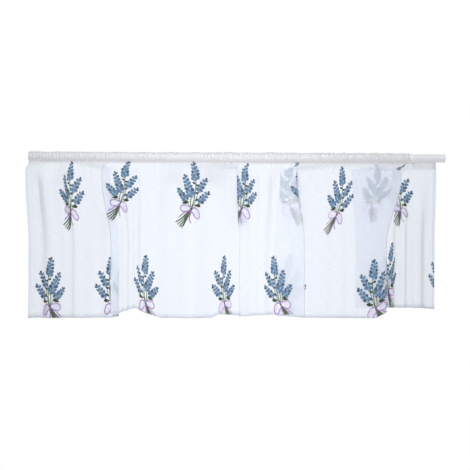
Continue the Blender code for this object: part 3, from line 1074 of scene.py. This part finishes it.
def rod_material():
    """White lacquer with a soft gloss and faint unevenness."""
    material, tree, shader = plain_shader("rod_lacquer", (0.86, 0.86, 0.88), 0.38)
    place = node(tree, "ShaderNodeTexCoord").outputs["Object"]
    noise = noise_texture(tree, place, 60.0, 4.0)
    tree.links.new(colour_ramp(tree, noise, LACQUER_TINTS), shader.inputs["Base Color"])
    rough = node(tree, "ShaderNodeMapRange")
    rough.inputs["To Min"].default_value = 0.32
    rough.inputs["To Max"].default_value = 0.46
    tree.links.new(noise, rough.inputs["Value"])
    tree.links.new(rough.outputs[0], shader.inputs["Roughness"])
    add_bump(tree, shader, noise, 0.08, 0.0004)
    return material


def thread_colours():
    """Threads of the embroidery, in the order of a bunch's material slots."""
    return (
        thread_material("thread_blue_light", (0.20, 0.345, 0.50), (0.36, 0.52, 0.69)),
        thread_material("thread_blue", (0.08, 0.17, 0.29), (0.18, 0.31, 0.46)),
        thread_material("thread_blue_dark", (0.035, 0.08, 0.145), (0.085, 0.165, 0.27)),
        thread_material("thread_leaf", (0.018, 0.035, 0.012), (0.05, 0.085, 0.03)),
        thread_material("thread_stem", (0.08, 0.14, 0.05), (0.20, 0.28, 0.12)),
        thread_material("thread_stalk", (0.035, 0.055, 0.02), (0.09, 0.12, 0.05)),
        thread_material("thread_lilac", (0.42, 0.20, 0.55), (0.58, 0.34, 0.72)),
        thread_material("thread_pink", (0.84, 0.77, 0.93), (0.92, 0.88, 0.98)),
    )


def add_floor():
    """A plain pale floor well below the curtain."""
    deselect_all()
    bpy.ops.mesh.primitive_plane_add(size=FLOOR_SIZE, location=(0.5, 0.0, FLOOR_HEIGHT))
    floor = bpy.context.object
    floor.name = "floor"
    bpy.ops.object.transform_apply(location=True, rotation=True, scale=True)
    material, _, _ = plain_shader("pale_floor", (0.86, 0.86, 0.87), 0.9)
    floor.data.materials.append(material)


def add_light(row):
    """A soft light with a cool white tint, which the camera doesn't see."""
    data = bpy.data.lights.new(row.name, "AREA")
    data.shape = "RECTANGLE"
    data.size = row.width
    data.size_y = row.height
    data.energy = row.power
    data.color = LIGHT_TINT
    light = bpy.data.objects.new(row.name, data)
    light.location = row.place
    aim = Vector(row.aim) - Vector(row.place)
    light.rotation_euler = aim.to_track_quat("-Z", "Y").to_euler()
    light.visible_camera = False
    bpy.context.scene.collection.objects.link(light)


def add_studio():
    """A white studio: white behind the curtain, softer all round, and its lights."""
    world = bpy.data.worlds.new("studio")
    world.use_nodes = True
    tree = world.node_tree
    background = tree.nodes["Background"]
    seen = node(tree, "ShaderNodeLightPath").outputs["Is Camera Ray"]
    tint = node(tree, "ShaderNodeMix", data_type="RGBA")
    tint.inputs["A"].default_value = AMBIENT_TINT
    tint.inputs["B"].default_value = WHITE
    tree.links.new(seen, tint.inputs["Factor"])
    tree.links.new(tint.outputs["Result"], background.inputs["Color"])
    strength = node(tree, "ShaderNodeMapRange")
    strength.inputs["To Min"].default_value = AMBIENT
    strength.inputs["To Max"].default_value = 1.0
    tree.links.new(seen, strength.inputs["Value"])
    tree.links.new(strength.outputs[0], background.inputs["Strength"])
    bpy.context.scene.world = world
    bpy.context.scene.view_settings.view_transform = "Standard"
    for row in LIGHTS:
        add_light(row)


def add_camera():
    """The camera at the photograph's angle: level, square on and far away."""
    data = bpy.data.cameras.new("camera")
    data.sensor_width = SENSOR
    data.lens = SENSOR * CAMERA_DISTANCE / (PHOTO_PIXELS * METRES_PER_PIXEL)
    camera = bpy.data.objects.new("camera", data)
    centre = PHOTO_PIXELS / 2.0
    x = (centre - ROD_LEFT_PIXEL) * METRES_PER_PIXEL
    z = (ROD_ROW_PIXEL - centre) * METRES_PER_PIXEL
    camera.location = (x, -CAMERA_DISTANCE, z)
    camera.rotation_euler = (math.pi / 2.0, CAMERA_ROLL, 0.0)
    bpy.context.scene.collection.objects.link(camera)
    bpy.context.scene.camera = camera


def main():
    """Hang and dress the cloth, sew it, finish the rod, and set up the studio."""
    cloth = HungCloth(body_levels())
    sheet = build_sheet(cloth)
    sheet.data.materials.append(voile_material())
    # Real voile passes most of its light, so the sheet doesn't shade itself.
    sheet.visible_shadow = False
    sheet.visible_diffuse = False
    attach(sheet, "root")
    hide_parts("curtain")
    source = build_bunch()
    bunches = []
    for row in BUNCH_ROWS:
        for place in row.places:
            bunches.append(lay_bunch(source, row, place, cloth))
    sewn = bunches + sew(cloth)
    for piece in sewn:
        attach(piece, "root")
    bpy.data.objects.remove(source, do_unlink=True)
    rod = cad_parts["rod"]
    rod.data.materials.clear()
    rod.data.materials.append(rod_material())
    add_floor()
    add_studio()
    add_camera()


THREADS = thread_colours()
main()
